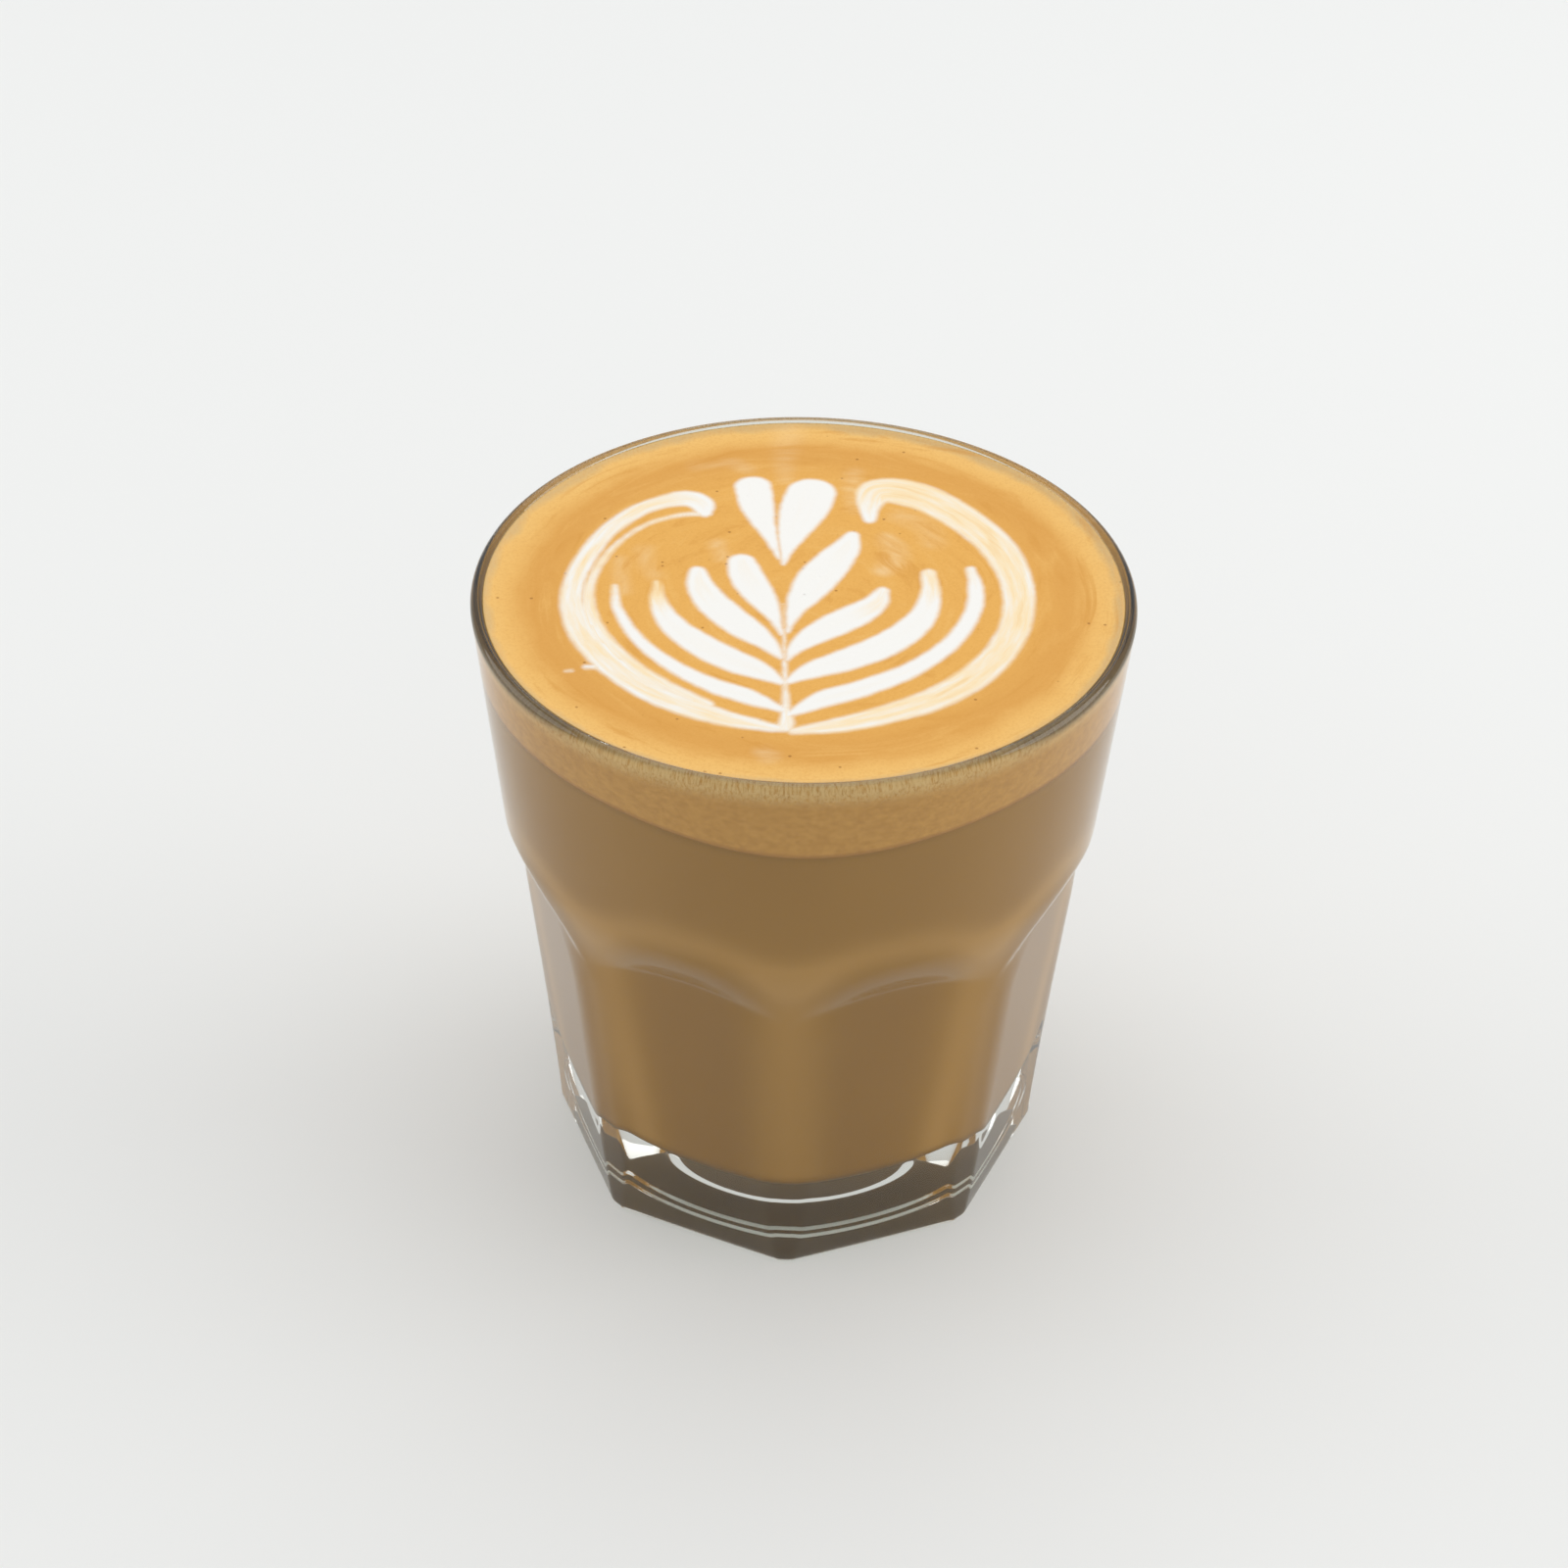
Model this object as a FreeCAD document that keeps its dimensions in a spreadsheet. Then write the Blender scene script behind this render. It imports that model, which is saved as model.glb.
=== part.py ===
import FreeCAD, Part
import Sketcher
import math
import os

# A cortado in its faceted tumbler: a glass with eight arched facets, filled to the brim with
# milk coffee, a layer of coffee foam on top and a rosette of white milk foam poured into it.
# Frame: +Z up, origin at the centre of the foot, one ridge of the glass on -Y. Millimetres.

SIZES = {
    # the glass, outside
    "glass_height": 77.8,
    "rim_radius": 38.1,
    "rim_round": 0.9,
    "cone_draft": 5.95,
    "shoulder_top": 48.3,
    "shoulder_foot": 43.3,
    "shoulder_round": 24.0,
    "ridge_foot_radius": 28.9,
    "ridge_draft": 6.15,
    "foot_round": 1.0,
    # the facets, each a flat panel under an arch
    "facet_count": 8,
    "facet_foot_apothem": 27.4,
    "facet_draft": 6.0,
    "arch_crest": 43.6,
    "arch_radius": 30.0,
    "arch_flare": 32.0,
    "arch_round": 1.2,
    "cutter_depth": 7.0,
    "cutter_width": 40.0,
    # the glass, inside and underneath
    "cavity_rim_radius": 36.3,
    "cavity_floor_radius": 21.6,
    "cavity_floor_height": 9.4,
    "cavity_wall_radius": 560.0,
    "cavity_floor_round": 4.0,
    "dish_radius": 19.5,
    "dish_depth": 1.5,
    # the drink
    "foam_drop": 0.9,
    "foam_depth": 9.5,
    # the milk rosette
    "rosette_depth": 1.6,
    "rosette_turn": 2.9,
    "rosette_shift": -2.3,
    "stem_foot": -26.4,
    "stem_top": 7.1,
    "stem_width": 0.9,
}

# One row for each lobe of the rosette, in its own plane: across the stem and along it.
# root: height on the stem, belly: middle of the stroke, tip: its end, wide: width at the belly,
# blunt: width at the tip. Left lobes lie on the negative side.
LOBE_FIELDS = ("root", "belly_across", "belly_along", "tip_across", "tip_along", "wide", "blunt")
LOBES = {
    "heart_left": (3.1, -2.2, 14.6, -4.0, 22.3, 3.6, 4.6),
    "heart_right": (4.1, 2.2, 15.6, 3.2, 21.7, 5.4, 6.0),
    "leaf_left_1": (-8.9, -3.9, 1.5, -5.2, 6.7, 4.2, 2.6),
    "leaf_right_1": (-8.9, 3.6, 3.3, 7.6, 11.7, 5.0, 2.6),
    "leaf_left_2": (-13.9, -7.0, -5.3, -10.6, 3.9, 4.0, 2.4),
    "leaf_right_2": (-13.9, 6.6, -6.1, 11.2, 1.3, 4.0, 1.6),
    "leaf_left_3": (-18.9, -10.0, -10.3, -15.2, 1.7, 3.4, 1.4),
    "leaf_right_3": (-18.9, 11.6, -10.1, 16.8, 4.5, 3.0, 2.0),
    "leaf_left_4": (-23.5, -13.6, -14.3, -20.0, 0.5, 2.2, 0.9),
    "leaf_right_4": (-23.5, 16.4, -13.3, 21.8, 5.9, 2.0, 1.4),
    "wrap_left": (-26.3, -23.8, -4.5, -10.6, 19.7, 2.8, 2.8),
    "wrap_right": (-26.3, 26.2, -3.5, 11.4, 21.7, 3.6, 4.6),
}

doc = FreeCAD.newDocument("cortado")
sheet = doc.addObject("Spreadsheet::Sheet", "sizes")


def fill_sheet():
    rows = dict(SIZES)
    for lobe, values in LOBES.items():
        for field, value in zip(LOBE_FIELDS, values):
            rows[f"{lobe}_{field}"] = value
    for row, (alias, value) in enumerate(rows.items(), start=1):
        sheet.set(f"A{row}", alias)
        sheet.set(f"B{row}", str(value))
        sheet.setAlias(f"B{row}", alias)
    doc.recompute()


def size(alias):
    return float(sheet.get(alias))


def slope(alias):
    return math.tan(math.radians(size(alias)))


# ------------------------------------------------------------------- sketching


def new_body(label):
    body = doc.addObject("PartDesign::Body", label)
    body.Label = label
    return body


def origin_feature(body, role):
    return next(f for f in body.Origin.OriginFeatures if f.Role == role)


def new_sketch(body, name):
    """A sketch on the body's own XZ plane: x runs outward along +X, y runs up the axis."""
    sketch = body.newObject("Sketcher::SketchObject", name)
    sketch.AttachmentSupport = [(origin_feature(body, "XZ_Plane"), "")]
    sketch.MapMode = "FlatFace"
    return sketch


def bind(sketch, name, constraint, expression):
    """Add a dimension and bind it to the sheet."""
    index = sketch.addConstraint(constraint)
    sketch.renameConstraint(index, name)
    sketch.setExpression(f"Constraints.{name}", expression)


def pin(sketch, name, line, end, point, across=None, along=None):
    """Dimension one end of a line from the origin, across and along the axis."""
    if across:
        bind(sketch, f"{name}_across",
             Sketcher.Constraint("DistanceX", -1, 1, line, end, point[0]), across)
    if along:
        bind(sketch, f"{name}_along",
             Sketcher.Constraint("DistanceY", -1, 1, line, end, point[1]), along)


def lean(sketch, name, line, degrees, expression):
    """Give a line its direction, in degrees from the x axis."""
    bind(sketch, name, Sketcher.Constraint("Angle", line, math.radians(degrees)), expression)


def join(sketch, edges, closed=True):
    """Let each edge start where the one before it ends."""
    followers = edges[1:] + edges[:1] if closed else edges[1:]
    for edge, following in zip(edges, followers):
        sketch.addConstraint(Sketcher.Constraint("Coincident", edge, 2, following, 1))


def join_smoothly(sketch, edges):
    for edge, following in zip(edges, edges[1:]):
        sketch.addConstraint(Sketcher.Constraint("Tangent", edge, 2, following, 1))


def segment(sketch, start, end):
    line = Part.LineSegment(FreeCAD.Vector(*start, 0), FreeCAD.Vector(*end, 0))
    return sketch.addGeometry(line, False)


def polygon(sketch, points):
    lines = [segment(sketch, a, b) for a, b in zip(points, points[1:] + points[:1])]
    join(sketch, lines)
    return lines


def arc(sketch, start, end, radius):
    """An arc from start to end, anticlockwise, less than half a turn."""
    chord = FreeCAD.Vector(end[0] - start[0], end[1] - start[1], 0)
    middle = FreeCAD.Vector((start[0] + end[0]) / 2, (start[1] + end[1]) / 2, 0)
    left = FreeCAD.Vector(-chord.y, chord.x, 0).normalize()
    centre = middle + left * math.sqrt(radius ** 2 - (chord.Length / 2) ** 2)
    angles = [math.atan2(y - centre.y, x - centre.x) for x, y in (start, end)]
    if angles[1] < angles[0]:
        angles[1] += 2 * math.pi
    circle = Part.Circle(centre, FreeCAD.Vector(0, 0, 1), radius)
    return sketch.addGeometry(Part.ArcOfCircle(circle, *angles), False)


def turn(body, kind, sketch, name, axis):
    """A full turn of the sketch about an axis: Revolution adds, Groove cuts."""
    feature = body.newObject(f"PartDesign::{kind}", name)
    feature.Profile = sketch
    feature.ReferenceAxis = axis
    feature.Angle = 360
    return feature


def turn_about_axis(body, kind, sketch, name):
    return turn(body, kind, sketch, name, (origin_feature(body, "Z_Axis"), [""]))


def round_edges(body, name, chosen, radius):
    """Fillet the edges of the body's last feature that the test chooses."""
    doc.recompute()
    base = body.Tip
    names = [f"Edge{i}" for i, edge in enumerate(base.Shape.Edges, start=1) if chosen(edge)]
    fillet = body.newObject("PartDesign::Fillet", name)
    fillet.Base = (base, names)
    fillet.setExpression("Radius", f"sizes.{radius}")
    return fillet


def level_ring(edge, height):
    """True for an edge that runs all the way at this height."""
    box = edge.BoundBox
    return abs(box.ZMin - height) < 1e-4 and abs(box.ZMax - height) < 1e-4


# ----------------------------------------------------------------------- glass


def draw_blank(body):
    """The round outside of the tumbler: the ridges' cone, the shoulder and the upper cone."""
    rim = (size("rim_radius"), size("glass_height"))
    top = (rim[0] - slope("cone_draft") * (rim[1] - size("shoulder_top")), size("shoulder_top"))
    foot = (size("ridge_foot_radius"), 0)
    low = (foot[0] + slope("ridge_draft") * size("shoulder_foot"), size("shoulder_foot"))
    sketch = new_sketch(body, "blank_profile")
    toe_in, toe_out = toe_ends(foot, size("ridge_draft"))
    base = segment(sketch, (0, 0), toe_in)
    toe = arc(sketch, toe_in, toe_out, size("foot_round"))
    ridge = segment(sketch, toe_out, low)
    step = segment(sketch, low, top)
    cone = segment(sketch, top, rim)
    lid = segment(sketch, rim, (0, rim[1]))
    axis = segment(sketch, (0, rim[1]), (0, 0))
    join(sketch, [ridge, step, cone, lid, axis, base], closed=False)
    join_smoothly(sketch, [base, toe, ridge])
    sketch.addConstraint(Sketcher.Constraint("Coincident", base, 1, -1, 1))
    sketch.addConstraint(Sketcher.Constraint("Horizontal", base))
    sketch.addConstraint(Sketcher.Constraint("Horizontal", lid))
    sketch.addConstraint(Sketcher.Constraint("Vertical", axis))
    pin(sketch, "low", ridge, 2, low, along="sizes.shoulder_foot",
        across="sizes.ridge_foot_radius + tan(sizes.ridge_draft * 1 deg) * sizes.shoulder_foot")
    pin(sketch, "top", step, 2, top, along="sizes.shoulder_top")
    pin(sketch, "rim", cone, 2, rim, across="sizes.rim_radius", along="sizes.glass_height")
    lean(sketch, "ridge_lean", ridge, 90 - size("ridge_draft"), "(90 - sizes.ridge_draft) * 1 deg")
    lean(sketch, "cone_lean", cone, 90 - size("cone_draft"), "(90 - sizes.cone_draft) * 1 deg")
    bind(sketch, "toe_radius", Sketcher.Constraint("Radius", toe, size("foot_round")),
         "sizes.foot_round")
    return sketch


def toe_ends(corner, draft):
    """Where a rounded toe meets the ground and the side that leans out by the draft."""
    reach = size("foot_round") * math.tan(math.radians(90 + draft) / 2)
    side = math.radians(draft)
    toe_in = (corner[0] - reach, corner[1])
    toe_out = (corner[0] + reach * math.sin(side), corner[1] + reach * math.cos(side))
    return toe_in, toe_out


def facet_frame():
    """The crest of a facet's arch, and the directions up the facet and out of it."""
    draft = math.radians(size("facet_draft"))
    crest = FreeCAD.Vector(size("facet_foot_apothem") + math.tan(draft) * size("arch_crest"),
                           size("arch_crest"), 0)
    up = FreeCAD.Vector(math.sin(draft), math.cos(draft), 0)
    out = FreeCAD.Vector(math.cos(draft), -math.sin(draft), 0)
    return crest, up, out


CREST_ACROSS = "sizes.facet_foot_apothem + tan(sizes.facet_draft * 1 deg) * sizes.arch_crest"
CENTRE_ACROSS = f"{CREST_ACROSS} - sizes.arch_radius * sin(sizes.facet_draft * 1 deg)"
CENTRE_ALONG = "sizes.arch_crest - sizes.arch_radius * cos(sizes.facet_draft * 1 deg)"
FACET_LEAN = "(90 - sizes.facet_draft) * 1 deg"


def draw_arch(body):
    """Half the section of a flared disc that lies on the facet; its axis stands on the facet."""
    crest, up, out = facet_frame()
    flare = math.radians(size("arch_flare"))
    depth = size("cutter_depth")
    centre = crest - up * size("arch_radius")
    outer = crest + out * depth + up * (depth / math.tan(flare))
    hub = centre + out * depth
    sketch = new_sketch(body, "arch_profile")
    panel, ledge, cap, axle = polygon(sketch, [(p.x, p.y) for p in (centre, crest, outer, hub)])
    pin(sketch, "crest", panel, 2, crest, across=CREST_ACROSS, along="sizes.arch_crest")
    lean(sketch, "panel_lean", panel, 90 - size("facet_draft"), FACET_LEAN)
    bind(sketch, "arch_radius", Sketcher.Constraint("Distance", panel, size("arch_radius")),
         "sizes.arch_radius")
    lean(sketch, "ledge_lean", ledge, 90 - size("facet_draft") - size("arch_flare"),
         "(90 - sizes.facet_draft - sizes.arch_flare) * 1 deg")
    sketch.addConstraint(Sketcher.Constraint("Parallel", cap, panel))
    sketch.addConstraint(Sketcher.Constraint("Perpendicular", axle, panel))
    bind(sketch, "depth", Sketcher.Constraint("Distance", axle, depth), "sizes.cutter_depth")
    spindle = sketch.addGeometry(Part.LineSegment(centre, hub), True)
    sketch.addConstraint(Sketcher.Constraint("Coincident", spindle, 1, axle, 2))
    sketch.addConstraint(Sketcher.Constraint("Coincident", spindle, 2, axle, 1))
    return sketch


def draw_panel(body):
    """The straight part of the facet's cutter, from the arch's centre down round the toe."""
    crest, up, out = facet_frame()
    depth = size("cutter_depth")
    centre = crest - up * size("arch_radius")
    toe_in, toe_out = toe_ends((size("facet_foot_apothem"), 0), size("facet_draft"))
    low = (toe_in[0], -depth)
    outer = centre + out * depth
    clear = (outer.x, -depth)
    sketch = new_sketch(body, "panel_profile")
    panel = segment(sketch, (centre.x, centre.y), toe_out)
    toe = arc(sketch, toe_in, toe_out, size("foot_round"))
    drop = segment(sketch, toe_in, low)
    under = segment(sketch, low, clear)
    face = segment(sketch, clear, (outer.x, outer.y))
    top = segment(sketch, (outer.x, outer.y), (centre.x, centre.y))
    join(sketch, [drop, under, face, top, panel], closed=False)
    sketch.addConstraint(Sketcher.Constraint("Tangent", panel, 2, toe, 2))
    sketch.addConstraint(Sketcher.Constraint("Perpendicular", toe, 1, drop, 1))
    pin(sketch, "centre", panel, 1, (centre.x, centre.y), across=CENTRE_ACROSS, along=CENTRE_ALONG)
    lean(sketch, "panel_lean", panel, -90 - size("facet_draft"),
         "(-90 - sizes.facet_draft) * 1 deg")
    bind(sketch, "toe_radius", Sketcher.Constraint("Radius", toe, size("foot_round")),
         "sizes.foot_round")
    sketch.addConstraint(Sketcher.Constraint("PointOnObject", toe, 1, -1))
    sketch.addConstraint(Sketcher.Constraint("Vertical", drop))
    sketch.addConstraint(Sketcher.Constraint("Horizontal", under))
    sketch.addConstraint(Sketcher.Constraint("Vertical", face))
    sketch.addConstraint(Sketcher.Constraint("Perpendicular", top, panel))
    bind(sketch, "depth", Sketcher.Constraint("Distance", top, depth), "sizes.cutter_depth")
    bind(sketch, "drop", Sketcher.Constraint("Distance", drop, depth), "sizes.cutter_depth")
    return sketch


def draw_cavity(body):
    """The hollow that holds the drink: a flat floor and a wall that bows gently outward."""
    floor = size("cavity_floor_height")
    top = size("glass_height")
    corner = (size("cavity_floor_radius"), floor)
    lip = (size("cavity_rim_radius"), top)
    sketch = new_sketch(body, f"{body.Label}_cavity")
    base = segment(sketch, (0, floor), corner)
    wall = arc(sketch, corner, lip, size("cavity_wall_radius"))
    lid = segment(sketch, lip, (0, top))
    axis = segment(sketch, (0, top), (0, floor))
    join(sketch, [base, wall, lid, axis])
    sketch.addConstraint(Sketcher.Constraint("Horizontal", base))
    sketch.addConstraint(Sketcher.Constraint("Horizontal", lid))
    sketch.addConstraint(Sketcher.Constraint("PointOnObject", base, 1, -2))
    sketch.addConstraint(Sketcher.Constraint("PointOnObject", axis, 1, -2))
    pin(sketch, "corner", base, 2, corner,
        across="sizes.cavity_floor_radius", along="sizes.cavity_floor_height")
    pin(sketch, "lip", wall, 2, lip,
        across="sizes.cavity_rim_radius", along="sizes.glass_height")
    bind(sketch, "wall_radius",
         Sketcher.Constraint("Radius", wall, size("cavity_wall_radius")), "sizes.cavity_wall_radius")
    return sketch


def draw_dish(body):
    """The shallow dish under the foot, which leaves the tumbler standing on a ring."""
    radius = size("dish_radius")
    depth = size("dish_depth")
    sketch = new_sketch(body, "dish_profile")
    base = segment(sketch, (0, 0), (radius, 0))
    dome = arc(sketch, (radius, 0), (0, depth), (radius ** 2 + depth ** 2) / (2 * depth))
    axis = segment(sketch, (0, depth), (0, 0))
    join(sketch, [base, dome, axis])
    sketch.addConstraint(Sketcher.Constraint("Coincident", base, 1, -1, 1))
    sketch.addConstraint(Sketcher.Constraint("Horizontal", base))
    sketch.addConstraint(Sketcher.Constraint("Vertical", axis))
    sketch.addConstraint(Sketcher.Constraint("PointOnObject", dome, 3, -2))
    pin(sketch, "edge", base, 2, (radius, 0), across="sizes.dish_radius")
    pin(sketch, "crown", axis, 1, (0, depth), along="sizes.dish_depth")
    return sketch


def is_crease(edge):
    """True for the arc where a facet's flat panel meets the ledge over it."""
    return edge.Curve.TypeId == "Part::GeomCircle" and edge.BoundBox.ZLength > 1


def build_glass():
    body = new_body("glass")
    turn_about_axis(body, "Revolution", draw_blank(body), "blank")
    shoulder = (size("shoulder_foot"), size("shoulder_top"))
    round_edges(body, "shoulder_rounds",
                lambda edge: any(level_ring(edge, z) for z in shoulder), "shoulder_round")
    arch_sketch = draw_arch(body)
    arch = turn(body, "Groove", arch_sketch, "facet_arch", (arch_sketch, ["Axis0"]))
    arch.Angle = 200   # just past the disc's upper half: the straight cutter does the rest
    arch.Midplane = True
    panel = body.newObject("PartDesign::Pocket", "facet_panel")
    panel.Profile = draw_panel(body)
    panel.Midplane = True
    panel.setExpression("Length", "sizes.cutter_width")
    facets = body.newObject("PartDesign::PolarPattern", "facets")
    facets.Originals = [arch, panel]
    facets.Axis = (origin_feature(body, "Z_Axis"), [""])
    facets.Angle = 360
    facets.setExpression("Occurrences", "sizes.facet_count")
    body.Tip = facets
    round_edges(body, "arch_rounds", is_crease, "arch_round")
    turn_about_axis(body, "Groove", draw_cavity(body), "cavity")
    round_floor(body)
    turn_about_axis(body, "Groove", draw_dish(body), "foot_dish")
    round_edges(body, "rim_rounds", lambda edge: level_ring(edge, size("glass_height")),
                "rim_round")
    body.setExpression(".Placement.Rotation.Angle", "180 deg / sizes.facet_count")
    return body


# ----------------------------------------------------------------------- drink


def round_floor(body):
    """Round the edge round the cavity's floor, on the glass and on the drink alike."""
    corner = FreeCAD.Vector(size("cavity_floor_radius"), 0, size("cavity_floor_height"))
    round_edges(body, f"{body.Label}_floor_round",
                lambda edge: edge.distToShape(Part.Vertex(corner))[0] < 1e-4
                and level_ring(edge, corner.z), "cavity_floor_round")


def trim(body, name, low, high):
    """Cut away what a turned body has between two heights, each a value and an expression."""
    reach = size("rim_radius")
    sketch = new_sketch(body, name + "_profile")
    points = [(0, low[0]), (reach, low[0]), (reach, high[0]), (0, high[0])]
    under, side, lid, axis = polygon(sketch, points)
    for line in (under, lid):
        sketch.addConstraint(Sketcher.Constraint("Horizontal", line))
    for line in (side, axis):
        sketch.addConstraint(Sketcher.Constraint("Vertical", line))
    sketch.addConstraint(Sketcher.Constraint("PointOnObject", under, 1, -2))
    pin(sketch, "low", under, 2, (reach, low[0]), across="sizes.rim_radius", along=low[1])
    pin(sketch, "high", lid, 1, (reach, high[0]), along=high[1])
    return turn_about_axis(body, "Groove", sketch, name)


def drink_levels():
    """The ground, the underside and the top of the foam, and the rim: values, expressions."""
    rim = size("glass_height")
    top = rim - size("foam_drop")
    under = top - size("foam_depth")
    top_words = "sizes.glass_height - sizes.foam_drop"
    return {
        "ground": (-1.0, "-1"),
        "foam_under": (under, f"{top_words} - sizes.foam_depth"),
        "foam_top": (top, top_words),
        "above_rim": (rim + 1, "sizes.glass_height + 1"),
    }


def build_coffee():
    levels = drink_levels()
    body = new_body("coffee")
    turn_about_axis(body, "Revolution", draw_cavity(body), "coffee_fill")
    round_floor(body)
    trim(body, "coffee_level", levels["foam_under"], levels["above_rim"])
    return body


def build_foam_disc():
    """The whole layer of foam, before the rosette is let into it."""
    levels = drink_levels()
    body = new_body("foam_disc")
    turn_about_axis(body, "Revolution", draw_cavity(body), "foam_fill")
    trim(body, "foam_bottom", levels["ground"], levels["foam_under"])
    trim(body, "foam_level", levels["foam_top"], levels["above_rim"])
    return body


# --------------------------------------------------------------------- rosette


def lobe_face(name):
    """One lobe: two arcs that leave the stem together, part at the belly and end in a round tip."""
    root = FreeCAD.Vector(0, size(f"{name}_root"), 0)
    belly = FreeCAD.Vector(size(f"{name}_belly_across"), size(f"{name}_belly_along"), 0)
    tip = FreeCAD.Vector(size(f"{name}_tip_across"), size(f"{name}_tip_along"), 0)
    chord = (tip - root).normalize()
    spine = Part.Arc(root, belly, tip)
    onward = spine.tangent(spine.LastParameter)[0]
    belly_side = FreeCAD.Vector(chord.y, -chord.x, 0) * (size(f"{name}_wide") / 2)
    tip_side = FreeCAD.Vector(onward.y, -onward.x, 0) * (size(f"{name}_blunt") / 2)
    outer = Part.Arc(root, belly + belly_side, tip + tip_side)
    end = Part.Arc(tip + tip_side, tip + onward * tip_side.Length, tip - tip_side)
    inner = Part.Arc(tip - tip_side, belly - belly_side, root)
    return Part.Face(Part.Wire([edge.toShape() for edge in (outer, end, inner)]))


def stem_face():
    foot = size("stem_foot")
    top = size("stem_top")
    half = size("stem_width") / 2
    corners = [(-half, foot), (half, foot), (half, top), (-half, top), (-half, foot)]
    return Part.Face(Part.makePolygon([FreeCAD.Vector(x, y, 0) for x, y in corners]))


def build_rosette():
    """The white milk: every lobe and the stem as one plate, flush with the foam's top."""
    depth = size("rosette_depth")
    plate = stem_face().extrude(FreeCAD.Vector(0, 0, depth))
    lobes = [lobe_face(name).extrude(FreeCAD.Vector(0, 0, depth)) for name in LOBES]
    plate = plate.multiFuse(lobes).removeSplitter()
    rosette = doc.addObject("Part::Feature", "milk_rosette")
    rosette.Label = "milk_rosette"
    rosette.Shape = plate
    level = drink_levels()["foam_top"][0] - depth
    rosette.Placement = FreeCAD.Placement(
        FreeCAD.Vector(size("rosette_shift"), 0, level),
        FreeCAD.Rotation(FreeCAD.Vector(0, 0, 1), size("rosette_turn")))
    return rosette


def build_foam(rosette):
    foam = doc.addObject("Part::Cut", "foam")
    foam.Label = "foam"
    foam.Base = build_foam_disc()
    foam.Tool = rosette
    return foam


# ---------------------------------------------------------------------- export


def check_document():
    for thing in doc.Objects:
        if "Invalid" in thing.State or "Error" in thing.State:
            raise RuntimeError(f"{thing.Name} did not recompute: {thing.State}")


def export(pieces):
    os.makedirs("parts", exist_ok=True)
    for piece in pieces:
        shape = piece.Shape
        if shape.isNull() or not shape.isValid() or len(shape.Solids) != 1:
            raise RuntimeError(f"{piece.Label} is not one valid solid")
        print(f"{piece.Label}: {shape.Volume / 1000:.2f} cm3, {len(shape.Faces)} faces")
        shape.exportStep(f"parts/{piece.Label}.step")


fill_sheet()
milk_rosette = build_rosette()
nodes = [build_glass(), build_coffee(), build_foam(milk_rosette), milk_rosette]
doc.recompute()
check_document()
export(nodes)
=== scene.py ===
import math

import bpy
import numpy as np
from mathutils import Matrix, Vector


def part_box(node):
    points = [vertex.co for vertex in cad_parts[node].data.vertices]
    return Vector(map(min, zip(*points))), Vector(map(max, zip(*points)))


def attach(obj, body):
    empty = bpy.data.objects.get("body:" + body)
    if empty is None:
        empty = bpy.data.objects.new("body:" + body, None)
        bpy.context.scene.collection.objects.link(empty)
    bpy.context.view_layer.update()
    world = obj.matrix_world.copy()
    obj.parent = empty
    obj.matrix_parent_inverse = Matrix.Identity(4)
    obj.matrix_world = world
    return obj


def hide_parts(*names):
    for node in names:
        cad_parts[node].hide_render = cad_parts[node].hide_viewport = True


# The looks of a cortado: a pressed tumbler with eight arched facets, the milk coffee in it, the
# golden foam on top and the white leaf poured into the foam. Shapes are worked out in
# millimetres, in the frame of the CAD model, and scaled to metres as each mesh is made.

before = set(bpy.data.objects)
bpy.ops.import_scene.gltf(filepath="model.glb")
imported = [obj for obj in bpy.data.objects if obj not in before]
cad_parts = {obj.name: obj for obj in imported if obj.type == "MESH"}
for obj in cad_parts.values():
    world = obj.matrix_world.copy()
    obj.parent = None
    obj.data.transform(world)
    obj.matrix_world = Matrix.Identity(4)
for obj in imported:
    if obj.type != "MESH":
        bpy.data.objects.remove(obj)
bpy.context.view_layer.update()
MM = 0.001                      # in metres


def millimetres(node):
    """Lowest and highest corner of a CAD node, in millimetres."""
    return [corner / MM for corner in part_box(node)]


LOW, HIGH = 0, 1
HEIGHT = millimetres("glass")[HIGH].z
FLOOR = millimetres("coffee")[LOW].z
FOAM_FOOT, FOAM_TOP = (corner.z for corner in millimetres("foam"))
MILK_FOOT = millimetres("milk_rosette")[LOW].z
SIDES = 480                     # columns round every turned mesh
FULL_TURN = 2 * math.pi

# --------------------------------------------------------------------------- glass outline

RIM_RADIUS = 38.1               # the upper cone, carried up to the rim's height
CONE_DRAFT = math.radians(5.95)
SHOULDER = (41.5, 50.0)         # the ridges swell into the cone between these heights
RIDGE_FOOT = 28.9
RIDGE_DRAFT = math.radians(6.15)
RIDGE_SPUR = 0.5                # the ridges stand out this much further at the ground
SPUR_FADE = 4.0
RIDGE_SOFTNESS = (0.1, 0.55)    # the ridges' rounding at the ground, and higher up
FACETS = 8
FACET_FOOT = 27.4               # from the axis to a facet, at the ground
FACET_DRAFT = math.radians(6.0)
ARCH_CREST = 43.6               # the height of the arch over a facet
ARCH_RADIUS = 30.0
ARCH_FLARE = math.radians(32)   # how far the ledge over an arch leans out from its facet
ARCH_SOFTNESS = 0.35            # where a facet turns into its ledge
LEDGE_SOFTNESS = 1.6            # the rounding above the arches
RIDGES_SOFTEN = (4, 24)         # the heights between which each rounding gives way to the next
LEDGES_SOFTEN = (36, 44)
TOE = 1.0                       # the round of the foot's edge
LIP = 0.9                       # the round of the rim
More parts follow.
